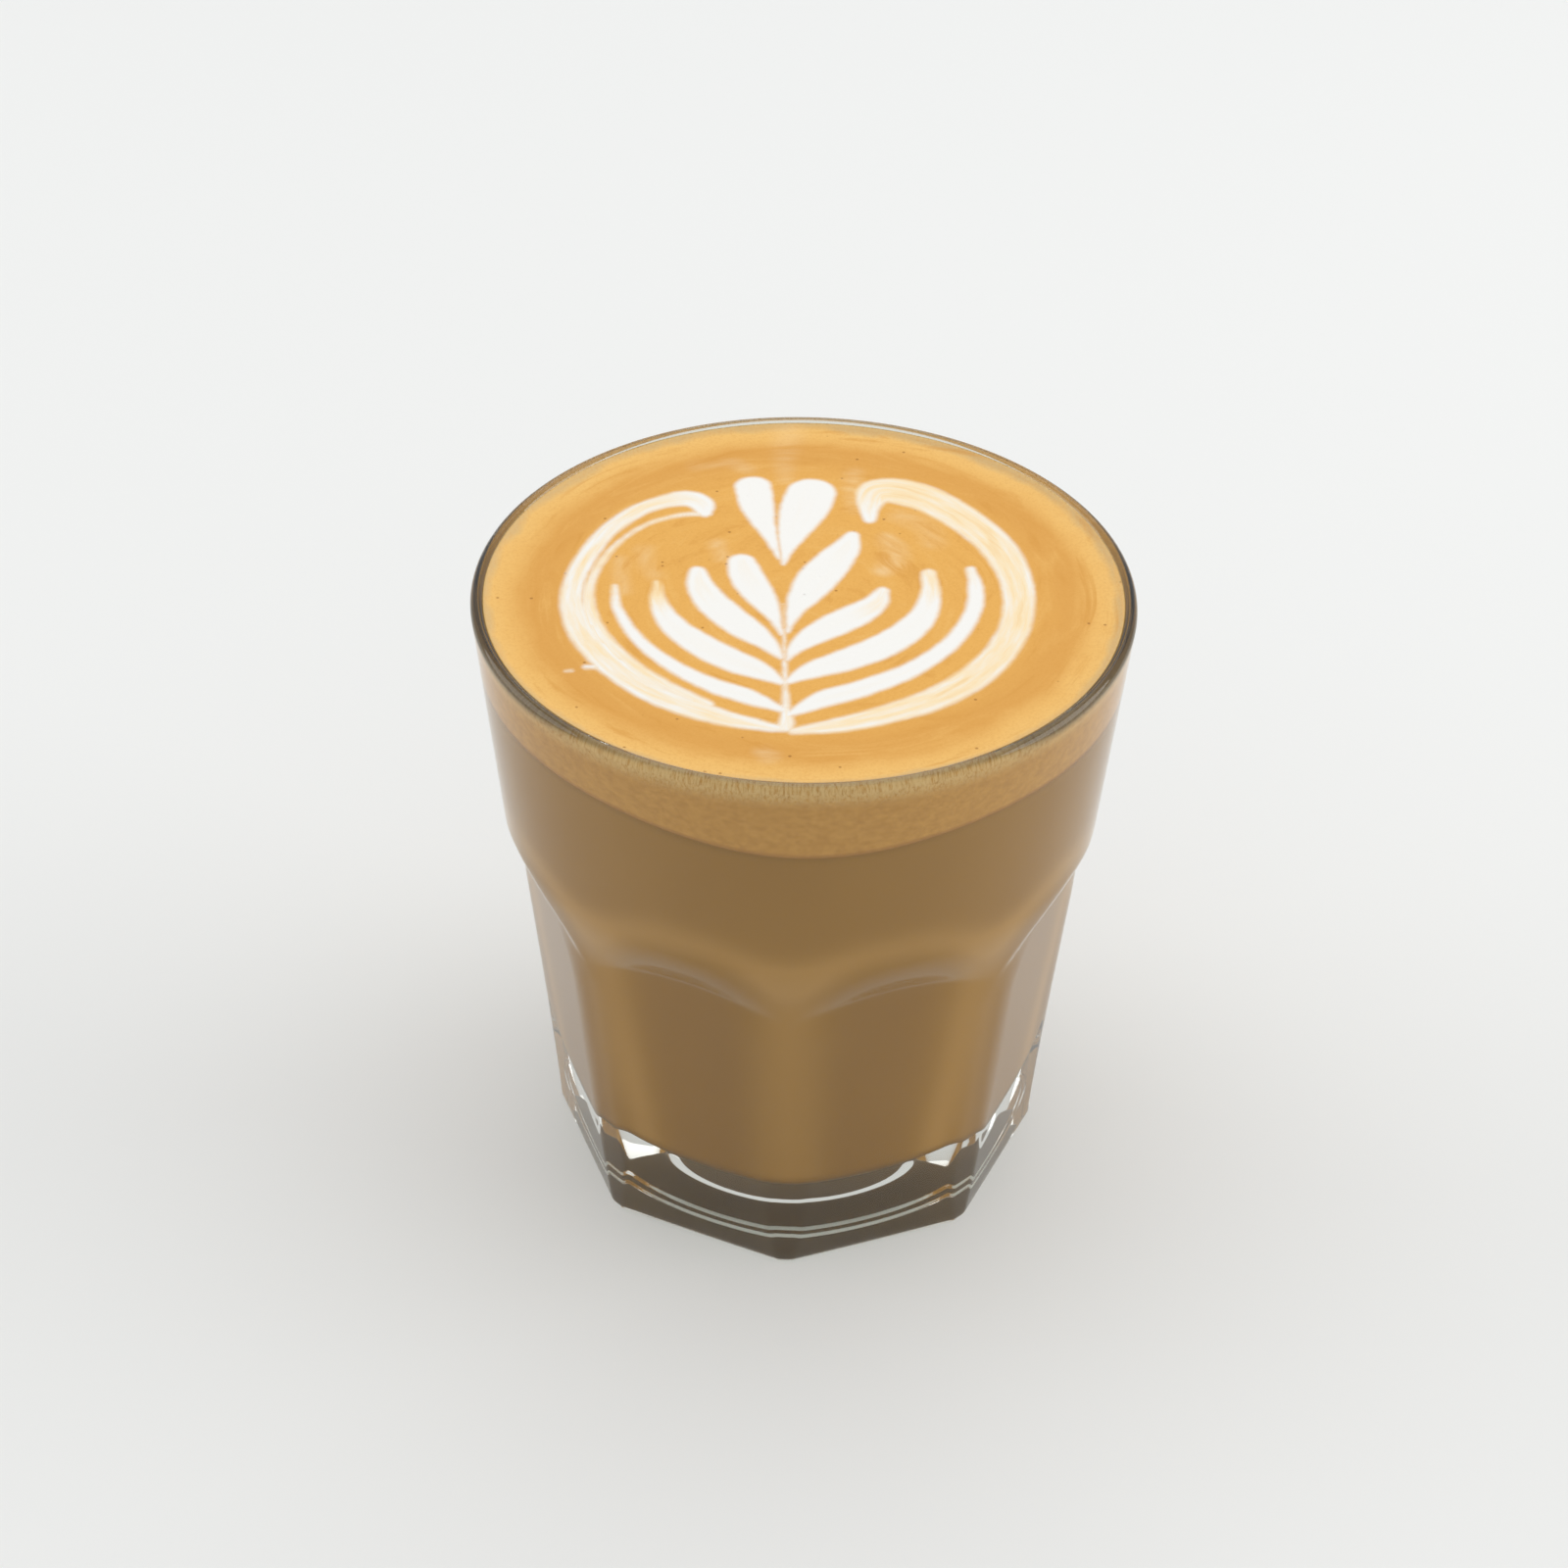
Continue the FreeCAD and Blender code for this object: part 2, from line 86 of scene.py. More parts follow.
# The dished underside, from its middle out: a shallow ring, then two steps down to the foot.
DISH = [(0, 1.55), (8.2, 1.57), (8.8, 1.62), (10.3, 1.86), (11.0, 1.9), (12.0, 1.85), (16.0, 1.3),
        (17.8, 1.1), (18.0, 1.05), (18.3, 0.55), (18.5, 0.5), (19.3, 0.48), (19.5, 0.4),
        (19.75, 0.04), (19.9, 0.0)]
CAVITY_FLOOR = 21.6             # radius of the cavity at its floor and at the rim
CAVITY_RIM = 36.6
CAVITY_ROUND = 2.5              # the round between its floor and its wall
CLING = 0.5                     # how far the foam's edge climbs the glass
INTO_WALL = 0.15                # the drink reaches this far into the glass, so no air shows


def smooth_step(low, high, x):
    """0 up to low and 1 from high on; the other way round if high is the lower one."""
    t = np.clip((x - low) / (high - low), 0, 1)
    return t * t * (3 - 2 * t)


def smooth_min(a, b, softness):
    """The smaller of two values, rounded over where they come close."""
    overlap = np.maximum(softness - np.abs(a - b), 0)
    return np.minimum(a, b) - overlap ** 2 / (4 * softness)


def bell(distance, width):
    """1 at no distance, fading out over width."""
    return np.exp(-(distance / width) ** 2)


def smooth_ramp(x, softness):
    """Nought below x = 0 and x above it, with a rounded corner."""
    return (x + np.sqrt(x * x + softness * softness)) / 2


def round_body(z):
    """Radius of the tumbler before its facets are pressed in."""
    ridge = RIDGE_FOOT + z * math.tan(RIDGE_DRAFT) + RIDGE_SPUR * np.exp(-z / SPUR_FADE)
    cone = RIM_RADIUS - (HEIGHT - z) * math.tan(CONE_DRAFT)
    return ridge + (cone - ridge) * smooth_step(*SHOULDER, z)


def facet_radius(turn, z):
    """Radius of a facet and of the ledge that flares out over its arch; turn is from its middle."""
    flat = FACET_FOOT + z * math.tan(FACET_DRAFT)
    up = np.maximum(z - (ARCH_CREST - ARCH_RADIUS), 0)
    radius = flat / np.cos(turn)
    for _ in range(8):          # the radius and the way up the ledge settle on each other
        over = smooth_ramp(np.hypot(radius * np.sin(turn), up) - ARCH_RADIUS, ARCH_SOFTNESS)
        radius = (flat + math.tan(ARCH_FLARE) * over) / np.cos(turn)
    return radius


def outer_radius(angle, z):
    """The outside of the tumbler. A ridge stands at -Y, and a facet's middle half a side on."""
    side = FULL_TURN / FACETS
    turn = np.mod(angle + math.pi / 2, side) - side / 2
    low, high = RIDGE_SOFTNESS
    softness = low + (high - low) * smooth_step(*RIDGES_SOFTEN, z)
    softness = softness + (LEDGE_SOFTNESS - high) * smooth_step(*LEDGES_SOFTEN, z)
    return smooth_min(round_body(z), facet_radius(turn, z), softness)


def cavity_radius(z):
    """The inside wall: a straight taper that rounds into the floor."""
    share = np.clip((z - FLOOR) / (HEIGHT - FLOOR), 0, 1)
    wall = CAVITY_FLOOR + (CAVITY_RIM - CAVITY_FLOOR) * share
    short = np.clip(CAVITY_ROUND - (z - FLOOR), 0, CAVITY_ROUND)
    return wall - CAVITY_ROUND + np.sqrt(CAVITY_ROUND ** 2 - short ** 2)


# --------------------------------------------------------------------------- mesh making

ANGLES = np.arange(SIDES) * FULL_TURN / SIDES - math.pi / 2


def ring(radius, z):
    """One row of points round the axis; radius and z are numbers or one value per column."""
    radius = np.broadcast_to(radius, ANGLES.shape)
    z = np.broadcast_to(z, ANGLES.shape)
    return np.stack([radius * np.cos(ANGLES), radius * np.sin(ANGLES), z], axis=-1)


def grid_quads(rows):
    """Quads between neighbouring rows, as indices of their points."""
    here = np.arange(SIDES)
    on = (here + 1) % SIDES
    row = np.arange(rows - 1)[:, None] * SIDES
    quads = np.stack([row + here, row + on, row + SIDES + on, row + SIDES + here], axis=-1)
    return quads.reshape(-1, 4)


def turned_faces(rows, first, last):
    """The quads between the rows, and a fan at either end to the points first and last."""
    columns = [(here, (here + 1) % SIDES) for here in range(SIDES)]
    top = (rows - 1) * SIDES
    faces = grid_quads(rows).tolist()
    faces += [(first, b, a) for a, b in columns]
    faces += [(last, top + a, top + b) for a, b in columns]
    return faces


def make_piece(name, points, faces, material, node):
    """A smooth-shaded mesh that stands for a CAD node."""
    mesh = bpy.data.meshes.new(name)
    mesh.from_pydata((np.asarray(points) * MM).tolist(), [], faces)
    mesh.polygons.foreach_set("use_smooth", [True] * len(mesh.polygons))
    mesh.materials.append(material)
    mesh.update()
    piece = bpy.data.objects.new(name, mesh)
    bpy.context.scene.collection.objects.link(piece)
    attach(piece, "root")
    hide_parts(node)
    return piece


def turned_piece(name, rows, low_centre, high_centre, material, node):
    """A closed mesh from rows that run from the bottom centre, round the outside, to the top."""
    points = np.concatenate([np.concatenate(rows), [(0, 0, low_centre), (0, 0, high_centre)]])
    count = len(rows) * SIDES
    return make_piece(name, points, turned_faces(len(rows), count, count + 1),
                      material, node)


def points_of(piece):
    """A piece's points in millimetres, one row each."""
    co = np.zeros(len(piece.data.vertices) * 3)
    piece.data.vertices.foreach_get("co", co)
    return co.reshape(-1, 3) / MM


def add_values(piece, name, values):
    """One number for each point, which a material reads by its name."""
    piece.data.attributes.new(name, "FLOAT", "POINT").data.foreach_set(
        "value", values.astype(np.float32))


def add_vectors(piece, name, vectors):
    piece.data.attributes.new(name, "FLOAT_VECTOR", "POINT").data.foreach_set(
        "vector", vectors.astype(np.float32).ravel())


# --------------------------------------------------------------------------- node wiring

class Wiring:
    """A material's node tree, with a short call for each kind of node that it needs."""

    def __init__(self, name):
        self.material = bpy.data.materials.new(name)
        self.material.use_nodes = True
        self.tree = self.material.node_tree
        self.tree.nodes.clear()
        self.output = self.tree.nodes.new("ShaderNodeOutputMaterial")

    def feed(self, socket, value):
        if isinstance(value, bpy.types.NodeSocket):
            self.tree.links.new(value, socket)
        elif socket.type == "RGBA" and len(value) == 3:
            socket.default_value = (*value, 1)
        else:
            socket.default_value = value

    def node(self, kind, settings=None, **inputs):
        made = self.tree.nodes.new(kind)
        for key, value in (settings or {}).items():
            setattr(made, key, value)
        for key, value in inputs.items():
            self.feed(made.inputs[key.replace("_", " ")], value)
        return made

    def math(self, operation, *values):
        made = self.node("ShaderNodeMath", {"operation": operation})
        for socket, value in zip(made.inputs, values):
            self.feed(socket, value)
        return made.outputs[0]

    def spread(self, value, low, high, to_low=0.0, to_high=1.0):
        """A value taken smoothly from one range to another."""
        made = self.node("ShaderNodeMapRange", {"interpolation_type": "SMOOTHSTEP"},
                         Value=value, From_Min=low, From_Max=high, To_Min=to_low, To_Max=to_high)
        return made.outputs[0]

    def blend(self, share, first, second):
        made = self.node("ShaderNodeMix", {"data_type": "RGBA"})
        for socket, value in zip((made.inputs[0], made.inputs[6], made.inputs[7]),
                                 (share, first, second)):
            self.feed(socket, value)
        return made.outputs[2]

    def ramp(self, share, stops):
        made = self.node("ShaderNodeValToRGB", Fac=share)
        band = made.color_ramp
        while len(band.elements) < len(stops):
            band.elements.new(0.5)
        for element, (place, colour) in zip(band.elements, stops):
            element.position = place
            element.color = (*colour, 1)
        return made.outputs[0]

    def attribute(self, name, output="Fac"):
        return self.node("ShaderNodeAttribute", {"attribute_name": name}).outputs[output]

    def place(self, scale=(1, 1, 1)):
        """The point in millimetres, stretched by scale."""
        where = self.node("ShaderNodeTexCoord").outputs["Object"]
        sized = self.node("ShaderNodeMapping", {"vector_type": "POINT"}, Vector=where,
                          Scale=tuple(s / MM for s in scale))
        return sized.outputs[0]

    def noise(self, vector, scale, detail=2.0, roughness=0.5, distortion=0.0):
        return self.node("ShaderNodeTexNoise", Vector=vector, Scale=scale, Detail=detail,
                         Roughness=roughness, Distortion=distortion).outputs["Fac"]

    def waver(self, value, amount, vector, scale, **pattern):
        """A value that noise takes up and down by as much as half of amount."""
        level = self.math("SUBTRACT", self.noise(vector, scale, **pattern), 0.5)
        return self.math("MULTIPLY_ADD", level, amount, value)

    def bump(self, height, distance, strength=1.0):
        return self.node("ShaderNodeBump", Height=height, Distance=distance * MM,
                         Strength=strength).outputs[0]

    def surface(self, **inputs):
        made = self.node("ShaderNodeBsdfPrincipled", **inputs)
        self.feed(self.output.inputs["Surface"], made.outputs[0])


def linear(red, green, blue):
    """A colour given as it looks on a screen, 0 to 255, as the light values nodes take."""
    return tuple(((c / 255 + 0.055) / 1.055) ** 2.4 for c in (red, green, blue))


# --------------------------------------------------------------------------- materials

COFFEE = linear(155, 112, 45)
# Painted light and shade on the coffee: deep, dim and lit copies of its colour.
COFFEE_PAINTED_DEEP_SHADE = linear(118, 92, 58)
COFFEE_PAINTED_DIM = linear(145, 103, 40)
COFFEE_PAINTED_LIT = linear(178, 133, 67)
FOAM_MIDDLE = linear(231, 175, 90)
FOAM_RING = linear(221, 163, 82)
FOAM_PALE = linear(237, 187, 107)
FOAM_EDGE = linear(239, 192, 114)
FOAM_DAMP = linear(217, 183, 126)
FOAM_SHADE = linear(212, 150, 66)
# The foam's side, darker than its top: partly the coffee's brown, partly painted shade.
SHADED_FOAM_SIDE = linear(203, 149, 69)
SHADED_FOAM_SIDE_DARK = linear(183, 130, 54)
FOAM_SIDE_PALE = linear(222, 186, 126)
BUBBLE = linear(160, 106, 48)
MILK = linear(243, 242, 238)
CREAM = linear(247, 225, 184)
GLASS_TINT = (0.90, 0.925, 0.875)
# Painted shade: the dark colour the lip's glass takes where the lip looks dark.
PAINTED_LIP_SHADE_COLOUR = (0.03, 0.034, 0.02)
SHADOW_TINT = (0.93, 0.95, 0.93)
FLOOR_TONES = ((0.82, 0.83, 0.822), (0.84, 0.85, 0.842))


def glass_material():
    """Clear glass, through which the lamps' light simply passes, so the drink isn't left dark."""
    w = Wiring("clear pressed glass")
    # The glass's own tint, blended with painted shade in the lip.
    tint_and_painted_shade = w.blend(w.attribute("painted_lip_shade"), GLASS_TINT, PAINTED_LIP_SHADE_COLOUR)
    clear = w.node("ShaderNodeBsdfPrincipled", Base_Color=tint_and_painted_shade, Roughness=0.0, IOR=1.52,
                   Transmission_Weight=1.0)
    passing = w.node("ShaderNodeBsdfTransparent", Color=SHADOW_TINT)
    path = w.node("ShaderNodeLightPath").outputs
    lighting = w.math("MAXIMUM", path["Is Shadow Ray"], path["Is Diffuse Ray"])
    mixed = w.node("ShaderNodeMixShader")
    for socket, value in zip(mixed.inputs, (lighting, clear.outputs[0], passing.outputs[0])):
        w.feed(socket, value)
    w.feed(w.output.inputs["Surface"], mixed.outputs[0])
    return w.material


def coffee_material():
    """Milk coffee with painted light and shade: brighter where the glass in front of it would
    gather light, dimmer behind the facets' middles and darkest at the floor.
    """
    w = Wiring("milk coffee")
    painted_light = w.attribute("painted_gathered_light")
    painted_light = w.waver(painted_light, 0.25, w.place((1, 1, 0.6)), 0.06, detail=3.0)
    painted_light = w.waver(painted_light, 0.05, w.place(), 2.0, detail=2.0)
    colour = w.ramp(painted_light, [(0.0, COFFEE_PAINTED_DEEP_SHADE), (0.3, COFFEE_PAINTED_DIM), (0.55, COFFEE),
                            (1.0, COFFEE_PAINTED_LIT)])
    w.surface(Base_Color=colour, Roughness=0.35, IOR=1.1)
    return w.material


def burst_bubbles(w):
    """Dark pits, 0 to 1, where a few of the foam's bubbles have burst."""
    cells = w.node("ShaderNodeTexVoronoi", {"feature": "F1"}, Vector=w.place(), Scale=0.55)
    lot = w.node("ShaderNodeSeparateColor", Color=cells.outputs["Color"]).outputs[0]
    return w.math("MULTIPLY", w.spread(cells.outputs["Distance"], 0.14, 0.06),
                  w.math("GREATER_THAN", lot, 0.8))


def golden_colour(w, fine, pits):
    """The foam's top: rings of gold that pale towards the glass, swirls, grain, pits and veils."""
    flat = w.place((1, 1, 0))
    radius = w.node("ShaderNodeVectorMath", {"operation": "LENGTH"}, Vector=flat).outputs["Value"]
    radius = w.waver(radius, 2.5, flat, 0.16, detail=3.0)
    golden = w.ramp(w.math("DIVIDE", w.math("SUBTRACT", radius, 24.0), 13.0), [
        (0.0, FOAM_MIDDLE), (0.42, FOAM_RING), (0.56, FOAM_RING), (0.76, FOAM_PALE),
        (0.87, FOAM_EDGE), (0.94, FOAM_DAMP)])
    swirl = w.noise(w.attribute("froth_flow", "Vector"), 1.0, detail=5.0, roughness=0.6,
                    distortion=1.4)
    veil = w.math("MULTIPLY", w.attribute("milk_veil"), w.spread(swirl, 0.2, 0.75))
    for share, colour in ((w.spread(swirl, 0.52, 0.75, 0.0, 0.55), FOAM_PALE),
                          (w.spread(swirl, 0.48, 0.28, 0.0, 0.55), FOAM_SHADE),
                          (w.spread(fine, 0.42, 0.72, 0.0, 0.3), FOAM_SHADE),
                          (w.math("MULTIPLY", pits, 0.7), BUBBLE),
                          (veil, CREAM)):
        golden = w.blend(share, golden, colour)
    return golden


def milk_colour(w, depth):
    """The poured milk: clean white or creamy, as each stroke's whiteness says, with streaks along
    the stroke where it is thin."""
    whiteness = w.attribute("milk_whiteness")
    streaky = w.spread(whiteness, 1.0, 0.4, 0.15, 2.4)
    clean = w.waver(whiteness, streaky, w.attribute("milk_flow", "Vector"), 1.1, detail=3.0,
                    roughness=0.6)
    clean = w.math("MULTIPLY_ADD", w.spread(depth, 1.3, 0.4), 0.3, clean)
    return w.ramp(w.math("MULTIPLY_ADD", clean, 0.5, 0.5),
                  [(0.0, FOAM_PALE), (0.5, CREAM), (1.0, MILK)])


def wall_colour(w):
    """The foam's side seen through the glass, darker than its top, partly the coffee's brown and
    partly
    painted shade: mottled, frothy under the rim, darker along its foot.
    """
    mottle = w.noise(w.place((1, 1, 1.3)), 0.9, detail=6.0, roughness=0.8)
    wall = w.blend(w.spread(mottle, 0.3, 0.7), SHADED_FOAM_SIDE_DARK, SHADED_FOAM_SIDE)
    foamy = w.noise(w.place((1, 1, 0.5)), 3.6, detail=3.0, roughness=0.8)
    under_rim = w.math("MULTIPLY", w.spread(w.attribute("froth_depth"), 3.2, 0.0),
                       w.spread(foamy, 0.3, 0.6))
    wall = w.blend(under_rim, wall, FOAM_SIDE_PALE)
    return w.blend(w.spread(w.attribute("froth_lift"), 0.8, 0.0, 0.0, 0.6), wall, BUBBLE)


def froth_material(name):
    """The foam with the milk poured into it, by how deep in a stroke of milk a point lies."""
    w = Wiring(name)
    fine = w.noise(w.place(), 3.4, detail=3.0, roughness=0.7)
    pits = burst_bubbles(w)
    depth = w.attribute("milk_depth")
    in_milk = w.spread(w.waver(depth, 0.35, w.place(), 0.6, detail=3.0), -0.42, 0.5)
    top = w.blend(in_milk, golden_colour(w, fine, pits), milk_colour(w, depth))
    colour = w.blend(w.attribute("froth_side"), top, wall_colour(w))
    grain = w.math("SUBTRACT", fine, pits)
    w.surface(Base_Color=colour, Roughness=0.55, Specular_IOR_Level=0.12,
              Normal=w.bump(grain, 0.05, 0.5))
    return w.material


def floor_material():
    w = Wiring("pale table")
    tone = w.noise(w.place(), 0.004, detail=2.0)
    colour = w.blend(tone, *FLOOR_TONES)
    w.surface(Base_Color=colour, Roughness=0.6, Specular_IOR_Level=0.2)
    return w.material


# --------------------------------------------------------------------------- the glass

CLOSE_ROWS = (34, 50)           # rows stand close together here, over the ledges and the shoulder
# Painted shade in the lip, from front to back: places along Y, and the shade at each.
LIP_SHADE = ((-38, -34, -28, -6, 4, 26), (0.35, 0.5, 0.95, 1.0, 0.84, 0.08))
SHADE_INSET = 0.5               # how far inside the rim's outline the shade ends, in front
SHADE_SPREAD = 0.9              # how much further out it reaches at the sides
SHADE_SOFTNESS = 0.15
SHADE_DEPTHS = (1.3, 0.8)       # it fades in between these depths below the rim


def glass_rows():
    """The tumbler's skin from the middle of its underside to the middle of the cavity's floor."""
    rows = []
    dish_radii, dish_heights = zip(*DISH)
    for radius in np.concatenate([np.arange(2, 17.6, 0.4), np.arange(17.6, 20, 0.1)]):
        rows.append(ring(radius, np.interp(radius, dish_radii, dish_heights)))
    toe_start = outer_radius(ANGLES, 0.0) - TOE
    for share in (0.0, 0.33, 0.67):
        rows.append(ring(dish_radii[-1] + share * (toe_start - dish_radii[-1]), 0.0))
    for lift in np.radians((0, 18, 36, 54, 72)):
        z = TOE * (1 - math.cos(lift))
        rows.append(ring(outer_radius(ANGLES, z) - TOE * (1 - math.sin(lift)), z))
    low, high = CLOSE_ROWS
    heights = np.concatenate([np.linspace(TOE, low, 34, endpoint=False),
                              np.linspace(low, high, 72, endpoint=False),
                              np.linspace(high, HEIGHT - LIP, 28, endpoint=False)])
    for z in heights:
        rows.append(ring(outer_radius(ANGLES, z), z))
    outside = RIM_RADIUS - LIP * math.tan(CONE_DRAFT) - LIP
    inside = float(cavity_radius(HEIGHT - LIP)) + LIP
    # The lip's two rounds. The inner one's top ring is left out: it would lie outside the other.
    for centre, lifts in ((outside, np.linspace(0, 90, 9)), (inside, np.linspace(90, 180, 9)[1:])):
        for lift in np.radians(lifts):
            rows.append(ring(centre + LIP * math.cos(lift), HEIGHT - LIP + LIP * math.sin(lift)))
    for z in np.linspace(HEIGHT - LIP, FLOOR + CAVITY_ROUND, 20)[1:]:
        rows.append(ring(cavity_radius(z), z))
    for lift in np.radians(np.linspace(0, 90, 10))[1:]:
        z = FLOOR + CAVITY_ROUND * (1 - math.sin(lift))
        rows.append(ring(cavity_radius(z), z))
    for radius in np.linspace(float(cavity_radius(FLOOR)), 2, 10)[1:]:
        rows.append(ring(radius, FLOOR))
    return rows


def painted_lip_shade(points):
    """Painted shade in the lip's glass, where the lip looks dark: all across it at the sides,
    fainter and only on its inner half in front, and hardly at all behind. This suits the camera's
    side and isn't worked out."""
    x, y, z = points.T
    radius = np.hypot(x, y)
    across = (x / np.maximum(radius, 1)) ** 2
    edge = RIM_RADIUS - SHADE_INSET + SHADE_SPREAD * across
    inner = smooth_step(SHADE_SOFTNESS, -SHADE_SOFTNESS, radius - edge)
    low, high = (HEIGHT - depth for depth in SHADE_DEPTHS)
    return inner * smooth_step(low, high, z) * np.interp(y, *LIP_SHADE)


def build_glass():
    piece = turned_piece("tumbler", glass_rows(), DISH[0][1], FLOOR, glass_material(),
                         "glass")
    add_values(piece, "painted_lip_shade", painted_lip_shade(points_of(piece)))


# --------------------------------------------------------------------------- the milk's strokes

LEAF_SHIFT = -2.3               # the leaf's stem stands beside the glass's axis, and leans
LEAF_TURN = math.radians(2.9)

# Each stroke is a line of rests: across the stem, along it, and half the stroke's width there.
# The two numbers before are the whiteness of the stroke's tip and of the rest of it: 1 for clean
# milk, 0 for cream, and below nought for milk that hardly shows in the foam.
STROKES = {
    "stem": (0.3, 0.42, [
        (0.0, -2.0, 0.05), (0.0, -7, 0.14), (0.0, -15, 0.28), (0.1, -22, 0.5),
        (0.1, -25.4, 0.9), (0.1, -26.5, 0.3)]),
    "heart_left": (1.0, 1.0, [
        (-3.5, 22.8, 2.2), (-3.1, 19, 2.05), (-2.4, 15.5, 1.5), (-1.5, 12, 0.9),
        (-0.5, 7.5, 0.3)]),
    "heart_right": (1.0, 1.0, [
        (3.4, 21.6, 2.95), (2.7, 18.5, 2.95), (1.9, 15.5, 2.45), (1.0, 12, 1.6), (0.4, 9, 0.8),
        (0.0, 6.3, 0.25)]),
    "leaf_right_1": (0.9, 1.0, [
        (8.1, 12.3, 0.85), (7.2, 9.6, 1.7), (5.6, 6.5, 2.3), (3.9, 3.2, 2.45), (2.4, -0.3, 1.9),
        (1.2, -3.5, 1.0), (0.4, -7.5, 0.25)]),
    "leaf_left_1": (0.9, 1.0, [
        (-4.8, 6.6, 1.6), (-4.3, 3.9, 2.0), (-3.3, 1.0, 2.0), (-2.1, -2.0, 1.5),
        (-1.1, -4.8, 0.8), (-0.3, -8, 0.25)]),
    "leaf_right_2": (0.5, 1.0, [
        (11.3, 0.8, 0.75), (10.4, -1.7, 1.5), (8.3, -4.0, 2.0), (5.6, -6.2, 2.05),
        (3.0, -8.6, 1.6), (1.3, -10.7, 0.95), (0.3, -13, 0.3)]),
    "leaf_left_2": (0.7, 1.0, [
        (-9.9, 4.6, 1.0), (-9.5, 1.6, 1.6), (-8.2, -1.6, 2.0), (-6.2, -4.7, 2.1),
        (-4.0, -7.4, 1.9), (-2.1, -9.7, 1.25), (-0.4, -12.6, 0.4)]),
    "leaf_right_3": (-0.2, 1.0, [
        (16.7, 4.4, 0.9), (16.8, 0.6, 1.15), (16.0, -3.6, 1.55), (13.9, -7.3, 1.95),
        (10.6, -10.6, 2.1), (6.6, -13.2, 1.95), (3.2, -15.0, 1.5), (0.5, -17.2, 0.5)]),
    "leaf_left_3": (-0.5, 0.95, [
        (-14.5, 2.2, 0.5), (-14.2, -2.0, 1.05), (-12.6, -6.2, 1.55), (-9.6, -10.0, 1.95),
        (-6.2, -13.0, 2.0), (-3.1, -15.1, 1.6), (-0.4, -17.4, 0.5)]),
    "leaf_right_4": (0.6, 0.95, [
        (21.6, 5.4, 0.55), (22.0, 1.5, 0.9), (21.4, -3.5, 1.0), (18.7, -9.6, 1.1),
        (14.1, -14.8, 1.3), (8.7, -18.4, 1.5), (4.2, -20.6, 1.45), (0.5, -23.4, 0.5)]),
    "leaf_left_4": (0.0, 0.95, [
        (-19.3, 1.4, 0.4), (-18.9, -3.0, 0.6), (-16.6, -8.9, 0.8), (-12.9, -13.9, 1.0),
        (-8.5, -17.7, 1.25), (-4.3, -20.1, 1.35), (-0.4, -22.6, 0.5)]),
    "wrap_left": (0.8, 0.36, [
        (-9.2, 17.0, 0.9), (-9.6, 19.0, 1.5), (-11.4, 20.1, 1.65), (-14.6, 19.1, 1.3),
        (-17.6, 16.8, 1.25), (-20.7, 12.5, 1.2), (-23.2, 6.0, 1.25), (-24.2, 0.0, 1.3),
        (-23.4, -5.8, 1.6), (-21.3, -11.0, 1.7), (-17.8, -16.2, 1.75), (-13.2, -20.6, 1.7),
        (-7.9, -23.7, 1.5), (-3.0, -25.5, 1.0), (0.0, -26.3, 0.5)]),
    "wrap_left_inner": (0.2, 0.15, [
        (-8.9, 16.7, 0.5), (-12.0, 16.5, 0.45), (-16.0, 14.4, 0.35), (-19.6, 9.7, 0.4),
        (-21.8, 3.6, 0.55), (-22.2, -2.2, 0.8), (-20.6, -8.2, 0.9), (-17.2, -13.7, 0.8),
        (-13.2, -18.0, 0.8), (-8.6, -21.7, 0.8)]),
    "wrap_right": (0.7, 0.05, [
        (10.2, 15.8, 0.8), (10.2, 18.4, 1.3), (10.9, 21.4, 2.2), (12.2, 22.2, 2.6),
        (14.8, 21.6, 2.75), (18.0, 19.5, 2.6), (22.0, 15.0, 2.4), (25.1, 9.5, 2.25),
        (26.7, 3.0, 1.95), (26.6, -3.5, 1.85), (25.0, -9.5, 1.85), (21.8, -15.2, 1.95),
        (17.0, -20.0, 1.95), (11.5, -23.2, 1.7), (6.0, -25.4, 1.35), (0.8, -26.6, 0.6)]),
    "drop_1": (0.4, 0.4, [
        (-22.0, -14.7, 0.45), (-21.2, -14.6, 0.5)]),
    "drop_2": (0.3, 0.3, [
        (-24.2, -15.5, 0.2), (-23.7, -15.4, 0.25)]),
}

# Milk that only tints the foam: how strongly it does, and rests as above.
VEILS = [
    (0.22, [(0.4, 24.5, 0.5), (0.3, 28, 1.0), (0.5, 31.5, 1.5), (0.9, 35, 2.0)]),
    (0.50, [(12.0, 11.8, 0.5), (13.0, 9.0, 1.2), (12.6, 6.4, 1.3), (11.6, 5.0, 0.6)]),
    (0.30, [(8.6, 26.0, 0.7), (8.4, 22.5, 0.7), (8.6, 18.0, 0.6)]),
    (0.30, [(14.0, 16.5, 1.2), (16.5, 14.5, 1.4), (17.6, 11.0, 1.1)]),
    (0.25, [(-16.2, 9.0, 0.8), (-15.8, 5.6, 0.7), (-14.8, 3.5, 0.5)]),
    (0.28, [(-18.6, 6.6, 0.7), (-18.7, 3.6, 0.6), (-18.2, 0.5, 0.4)]),
    (0.22, [(-10.5, 27.4, 0.5), (-6.5, 28.2, 0.7), (-4.2, 26.6, 0.5)]),
    (0.45, [(-2.4, -30.4, 0.5), (-1.8, -31.3, 0.7)]),
    (0.30, [(-7.0, 7.5, 0.6), (-7.8, 10.5, 0.5)]),
]
VEIL_EDGE = 1.3                 # a veil fades out over this distance
STROKE_STEP = 0.35              # the strokes are worked out at points this far apart
TIP_LENGTH = 8.0                # over which a stroke goes from its tip's whiteness to its own
